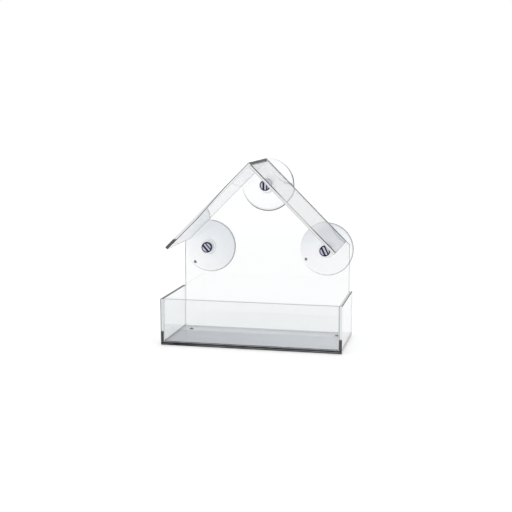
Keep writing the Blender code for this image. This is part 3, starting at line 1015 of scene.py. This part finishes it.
def cup_profile():
    """From the bottom of the insert's pocket over the neck and the dome to the hollow's centre."""
    pocket = INSERT_RADIUS + POCKET_CLEARANCE
    pocket_end = INSERT_END - POCKET_CLEARANCE
    points = [(0, pocket_end), (pocket, pocket_end), (pocket, NECK_END)]
    points += [(NECK_RADIUS - NECK_CHAMFER, NECK_END), (NECK_RADIUS, NECK_END - NECK_CHAMFER)]
    fillet = (NECK_FILLET, NECK_FILLET)
    points += arc((DOME_START, NECK_END - NECK_LENGTH), fillet, -math.pi, -math.pi / 2)
    for step in range(1, DOME_POINTS + 1):
        radius = DOME_START + (DOME_END - DOME_START) * step / DOME_POINTS
        points.append((radius, dome_height(radius)))
    lip = (dome_height(DOME_END) - RIM_PLANE) / 2
    points += arc((DOME_END, RIM_PLANE + lip), (LIP_ROUNDING, lip), math.pi / 2, -math.pi / 2)[1:]
    land = CUP_RADIUS - LAND_WIDTH
    for step in range(HOLLOW_POINTS + 1):
        share = 1 - step / HOLLOW_POINTS
        points.append((land * share, RIM_PLANE + HOLLOW_DEPTH * (1 - share ** 2)))
    return points


def direction_of(angle):
    """The direction of an angle, square to the axis."""
    return Vector((math.cos(angle), math.sin(angle), 0))


def nub_place(side):
    """Where a cup's nub stands on its outer face."""
    reach = CUP_RADIUS - NUB_RIM_INSET
    return reach * direction_of(NUB_ANGLES[side]) + Vector((0, 0, dome_height(reach)))


def nub_mesh(side):
    """The small nub on the outer face that lifts the cup's edge."""
    profile = [(0, NUB_HEIGHT)] + rounded_corner(NUB_RADIUS, NUB_HEIGHT, NUB_ROUNDING)
    profile += [(NUB_RADIUS, -NUB_ROOT), (0, -NUB_ROOT)]
    mesh = lathe("nub", profile, NUB_STEPS)
    mesh.transform(Matrix.Translation(nub_place(side)))
    return mesh


def finish_turned(mesh, angle=0, **rules):
    """Shades a round piece smoothly, with sharp edges where faces meet at an angle.

    It also stores each corner's distance across and along a direction, and numbers by other rules.
    """
    mesh.shade_smooth()
    mesh.set_sharp_from_angle(angle=SHARP_ANGLE)
    points = [mesh.vertices[index].co for face in mesh.polygons for index in face.vertices]
    distances = {"side": direction_of(angle + math.pi / 2).dot, "along": direction_of(angle).dot}
    for name, rule in (distances | rules).items():
        write_numbers(mesh, name, [rule(point) for point in points])


def make_cup(side, place, material):
    """A soft cup with its neck against the panel and its rim to the glass."""
    mesh = cut(lathe("cup", cup_profile(), CUP_STEPS), [nub_mesh(side)], "UNION")
    mesh.name = "suction_cup_%s_soft" % side
    nub = nub_place(side)
    dark_way = direction_of(RIM_DARK_ANGLES[side])
    milky_way = direction_of(SIDE_SHADE_ANGLES[side])
    band = RIM_BANDS[side]

    # Painted shade on the nub and along the rim, darkest towards one side
    def shade_of(point):
        if (point - nub).length < NUB_DARK_REACH:
            return 1.0
        at_rim = min(1.0, max(0.0, 2 * (point.xy.length - CUP_RADIUS + band) / band))
        towards = (1 + point.xy.normalized().dot(dark_way.xy)) / 2
        return at_rim * min(1.0, RIM_DARK_STRENGTHS[side] * towards ** RIM_DARK_GATHERING[side])

    # Painted shade, greyer towards one side of the cup
    def milk_of(point):
        towards = max(0.0, (1 + point.dot(milky_way) / CUP_RADIUS) / 2)
        return min(1.0, SIDE_SHADE_SHARES[side] * towards ** SIDE_SHADE_GATHERING[side])

    finish_turned(mesh, shade=shade_of, milk=milk_of)
    put_in_scene(mesh, place, "cup_" + side, [material], ["suction_cup_" + side])


def new_tree(name, kinds):
    """An empty geometry tree with named inputs, and the values that they give."""
    group = bpy.data.node_groups.new(name, "GeometryNodeTree")
    for label, kind in kinds.items():
        group.interface.new_socket(label, in_out="INPUT", socket_type="NodeSocket" + kind)
    group.interface.new_socket("Geometry", in_out="OUTPUT", socket_type="NodeSocketGeometry")
    tree = Tree(group)
    given = group.nodes.new("NodeGroupInput")
    return tree, {label: Value(tree, given.outputs[label]) for label in kinds}


def end_tree(tree, geometry, material):
    """Realizes what a tree repeats, gives it its material and sends it out."""
    real = tree.node("GeometryNodeRealizeInstances", inputs={"Geometry": geometry})
    finished = tree.node("GeometryNodeSetMaterial", inputs={"Geometry": real, "Material": material})
    tree.end("NodeGroupOutput", "Geometry", finished)


def thread_tree():
    """A right-hand thread's ridge, wound upwards round the Z axis."""
    kinds = {"Radius": "Float", "Pitch": "Float", "Turns": "Float", "Ridge": "Float"}
    tree, given = new_tree("wound_thread", kinds | {"Steps": "Int", "Material": "Material"})
    sizes = {"Start Radius": given["Radius"], "End Radius": given["Radius"], "Rotations": given["Turns"]}
    sizes |= {"Height": given["Turns"] * given["Pitch"], "Resolution": given["Steps"]}
    path = tree.node("GeometryNodeCurveSpiral", inputs=sizes)
    path = tree.node("GeometryNodeSetCurveNormal", {"mode": "Z_UP"}, {"Curve": path})
    sizes = {"Resolution": RIDGE_CORNERS, "Radius": given["Ridge"]}
    profile = tree.node("GeometryNodeCurvePrimitiveCircle", inputs=sizes)
    inputs = {"Curve": path, "Profile Curve": profile, "Fill Caps": True}
    end_tree(tree, tree.node("GeometryNodeCurveToMesh", inputs=inputs), given["Material"])
    return tree.node_tree


def knurl_tree():
    """Straight ridges that stand round the Z axis, as on a knurled insert."""
    kinds = {"Radius": "Float", "Count": "Int", "Ridge": "Float", "Length": "Float"}
    tree, given = new_tree("straight_knurl", kinds | {"Material": "Material"})
    ring = tree.node("GeometryNodeMeshCircle", inputs={"Vertices": given["Count"], "Radius": given["Radius"]})
    sizes = {"Vertices": RIDGE_CORNERS, "Radius": given["Ridge"], "Depth": given["Length"]}
    ridge = tree.node("GeometryNodeMeshCylinder", inputs=sizes)
    place = tree.node("GeometryNodeInputPosition")
    turn = tree.node("FunctionNodeAlignRotationToVector", {"axis": "X"}, {"Vector": place})
    inputs = {"Points": ring, "Instance": ridge, "Rotation": turn}
    end_tree(tree, tree.node("GeometryNodeInstanceOnPoints", inputs=inputs), given["Material"])
    return tree.node_tree


def grown(group, values):
    """The plain mesh that a geometry tree makes from its named inputs."""
    thing = new_object(group.name, bpy.data.meshes.new(group.name))
    modifier = thing.modifiers.new(group.name, "NODES")
    modifier.node_group = group
    for item in group.interface.items_tree:
        if item.in_out == "INPUT":
            modifier[item.identifier] = values[item.name]
    return plain_mesh(thing)


def wound_thread(group, radius, low, high, material):
    """A thread's ridge that reaches from one height to another."""
    start = low + THREAD_RIDGE
    values = {"Radius": radius, "Pitch": THREAD_PITCH, "Turns": (high - THREAD_RIDGE - start) / THREAD_PITCH}
    values |= {"Ridge": THREAD_RIDGE, "Steps": THREAD_STEPS, "Material": material}
    mesh = grown(group, values)
    mesh.transform(Matrix.Translation((0, 0, start)))
    return mesh


def slot_cutter(side, head_top):
    """The bar with sloping sides that cuts a screw's slot."""
    slope = (SLOT_MOUTH_WIDTH - SLOT_FLOOR_WIDTH) / 2 / SLOT_DEPTH
    mouth = SLOT_MOUTH_WIDTH / 2 + CUT_OVERRUN * slope
    floor = SLOT_FLOOR_WIDTH / 2
    outline = [(-floor, -SLOT_DEPTH), (floor, -SLOT_DEPTH), (mouth, CUT_OVERRUN), (-mouth, CUT_OVERRUN)]
    mesh = prism("slot", outline, 2 * HEAD_RADIUS + CUT_OVERRUN)
    turn = Matrix.Rotation(SLOT_ANGLES[side] + math.pi / 2, 4, "Z")
    mesh.transform(Matrix.Translation((0, 0, head_top)) @ turn @ UPRIGHT_ACROSS)
    return mesh


def make_screw(side, place, material, threads):
    """A slotted screw with a rounded head and a real thread."""
    head_top = HEAD_SEAT + HEAD_HEIGHT
    core = THREAD_RADIUS - THREAD_RIDGE
    profile = [(0, head_top)] + rounded_corner(HEAD_RADIUS, head_top, HEAD_ROUNDING)
    profile += [(HEAD_RADIUS, HEAD_SEAT), (core, HEAD_SEAT), (core, SHANK_END + THREAD_END_CHAMFER)]
    profile += [(core - THREAD_END_CHAMFER, SHANK_END), (0, SHANK_END)]
    mesh = cut(lathe("screw", profile, SCREW_STEPS), [slot_cutter(side, head_top)])
    thread = wound_thread(threads, core, SHANK_END + THREAD_END_CHAMFER, HEAD_SEAT, material)
    mesh = joined("slotted_screw_%s_metal" % side, [mesh, thread])
    finish_turned(mesh, SLOT_ANGLES[side], head=lambda point: float(point.z > HEAD_SEAT - HEIGHT_TOLERANCE))
    put_in_scene(mesh, place, "screw_" + side, [material], ["slotted_screw_" + side])


def insert_profile():
    """From the bottom of the bore over the flush end and the groove to the far end."""
    bore = THREAD_RADIUS + THREAD_CLEARANCE
    outer = INSERT_RADIUS - KNURL_RIDGE
    groove = INSERT_RADIUS - INSERT_GROOVE_DEPTH
    profile = [(0, INSERT_BORE_END), (bore, INSERT_BORE_END), (bore, NECK_END)]
    profile += [(outer - INSERT_CHAMFER, NECK_END), (outer, NECK_END - INSERT_CHAMFER)]
    profile += [(outer, GROOVE_HIGH), (groove, GROOVE_HIGH), (groove, GROOVE_LOW), (outer, GROOVE_LOW)]
    profile += [(outer, INSERT_END + INSERT_CHAMFER), (outer - INSERT_CHAMFER, INSERT_END), (0, INSERT_END)]
    return profile


def knurled_band(group, low, high, material):
    """The ridges of one knurled band of the insert."""
    values = {"Radius": INSERT_RADIUS - KNURL_RIDGE, "Count": KNURL_COUNT, "Ridge": KNURL_RIDGE}
    values |= {"Length": high - low, "Material": material}
    mesh = grown(group, values)
    mesh.transform(Matrix.Translation((0, 0, (low + high) / 2)))
    return mesh


def make_insert(side, place, material, threads, knurls):
    """A blind threaded insert, knurled on both sides of the groove that the cup grips."""
    shell = lathe("insert", insert_profile(), SCREW_STEPS)
    upper = knurled_band(knurls, GROOVE_HIGH, NECK_END - INSERT_CHAMFER, material)
    lower = knurled_band(knurls, INSERT_END + INSERT_CHAMFER, GROOVE_LOW, material)
    root = THREAD_RADIUS + INNER_THREAD_CREST + THREAD_RIDGE
    inner = wound_thread(threads, root, INSERT_BORE_END, NECK_END, material)
    mesh = joined("threaded_insert_%s_brass" % side, [shell, upper, lower, inner])
    finish_turned(mesh)
    put_in_scene(mesh, place, "cup_" + side, [material], ["threaded_insert_" + side])


def make_washer(side, place, material):
    """A thin clear washer with a rounded edge under the screw's head."""
    bore = THREAD_RADIUS + SCREW_HOLE_CLEARANCE
    top = WASHER_SEAT + WASHER_THICKNESS
    profile = [(bore, top)] + rounded_corner(WASHER_RADIUS, top, WASHER_ROUNDING)
    profile += [(WASHER_RADIUS, WASHER_SEAT), (bore, WASHER_SEAT)]
    mesh = lathe("screw_washer_%s_nylon" % side, profile, SCREW_STEPS, closed=True)
    finish_turned(mesh)
    put_in_scene(mesh, place, "washer_" + side, [material], ["screw_washer_" + side])


def make_fixings():
    """The three cups with their inserts, screws and washers."""
    pvc = soft_pvc()
    nylon = clear_nylon()
    brass = turned_brass()
    chrome = bright_chrome()
    threads = thread_tree()
    knurls = knurl_tree()
    for side, axis in fixing_axes().items():
        place = Matrix.Translation(axis) @ UPRIGHT_ACROSS
        make_cup(side, place, pvc)
        make_insert(side, place, brass, threads, knurls)
        make_screw(side, place, chrome, threads)
        make_washer(side, place, nylon)


# Stage
FLOOR_REACH = 6.0
FLOOR_DROP = 0.0004


def make_stage():
    """A plain pale floor."""
    shape = bmesh.new()
    bmesh.ops.create_grid(shape, x_segments=1, y_segments=1, size=FLOOR_REACH)
    mesh = mesh_of(shape, "floor")
    mesh.transform(Matrix.Translation((0, 0, -FLOOR_DROP)))
    mesh.materials.append(white_paper())
    new_object("floor", mesh)


# Heights and facings, as parts of a direction of length 1, between which the room turns pale
BACKDROP_LOW = 0.02
BACKDROP_HIGH = 0.20
FACING_DARK = 0.55
FACING_PALE = 0.88


def make_world():
    """Soft room light, white where it is looked at, and a room with darker sides for what shines."""
    world = bpy.data.worlds.new("studio")
    world.use_nodes = True
    tree = Tree(world.node_tree)
    direction = tree.node("ShaderNodeTexCoord", output="Generated")
    height = tree.ramp(tree.part(direction, "Z"), BACKDROP_LOW, BACKDROP_HIGH)
    backdrop = tree.mix(height, WHITE, ROOM_HIGH)
    facing = tree.ramp(abs(tree.part(direction, "Y")), FACING_DARK, FACING_PALE)
    mirrored = tree.mix(facing, ROOM_SIDES, backdrop)
    colour = tree.mix(tree.ray("Is Glossy Ray"), ROOM_LIGHT, mirrored)
    colour = tree.mix(tree.ray("Is Transmission Ray"), colour, backdrop)
    colour = tree.mix(tree.ray("Is Camera Ray"), colour, WHITE)
    background = tree.node("ShaderNodeBackground", inputs={"Color": colour, "Strength": 1.0})
    tree.end("ShaderNodeOutputWorld", "Surface", background)
    bpy.context.scene.world = world


LAMPS = {
    "key_lamp": {"place": (-0.9, -1.0, 1.3), "size": 0.9, "power": 4.0},
    "fill_lamp": {"place": (1.2, -0.9, 0.9), "size": 1.0, "power": 2.0},
    "top_lamp": {"place": (0.1, 0.5, 1.6), "size": 1.2, "power": 2.7},
}


def aim(thing, place, target):
    """Puts a camera or lamp at a place, looking at a target."""
    thing.location = place
    thing.rotation_euler = (target - thing.location).to_track_quat("-Z", "Y").to_euler()


def make_lamps():
    """Three large soft lamps."""
    for name, lamp in LAMPS.items():
        data = bpy.data.lights.new(name, "AREA")
        data.shape = "DISK"
        data.size = lamp["size"]
        data.energy = lamp["power"]
        aim(new_object(name, data), lamp["place"], CAMERA_TARGET)


def make_camera():
    """The photograph's camera."""
    data = bpy.data.cameras.new("camera")
    data.lens = CAMERA_LENS_MM
    data.sensor_width = CAMERA_SENSOR_MM
    camera = new_object("camera", data)
    level = math.cos(CAMERA_ELEVATION)
    back = Vector((math.sin(CAMERA_AZIMUTH) * level, -math.cos(CAMERA_AZIMUTH) * level, 0))
    back.z = math.sin(CAMERA_ELEVATION)
    aim(camera, CAMERA_TARGET + back * CAMERA_DISTANCE, CAMERA_TARGET)
    bpy.context.scene.camera = camera


# How often light may bounce in the many clear layers
CLEAR_BOUNCES = 32
GLOSSY_BOUNCES = 12
ALL_BOUNCES = 40


def main():
    """Dresses the frame and lights it."""
    make_camera()
    make_stage()
    make_world()
    make_lamps()
    edge = cut_edge()
    house = clear_sheet("house")
    tray = clear_sheet("tray")
    make_tray([painted_shade_floor(), edge], [tray, edge])
    make_back_panel([house, edge])
    make_roof({"left": clear_sheet("left_roof"), "right": shaded_end_roof()}, edge)
    make_cement(solvent_cement())
    make_fixings()
    scene = bpy.context.scene
    scene.view_settings.view_transform = "Standard"
    scene.cycles.transparent_max_bounces = CLEAR_BOUNCES
    scene.cycles.transmission_bounces = CLEAR_BOUNCES
    scene.cycles.glossy_bounces = GLOSSY_BOUNCES
    scene.cycles.max_bounces = ALL_BOUNCES


main()
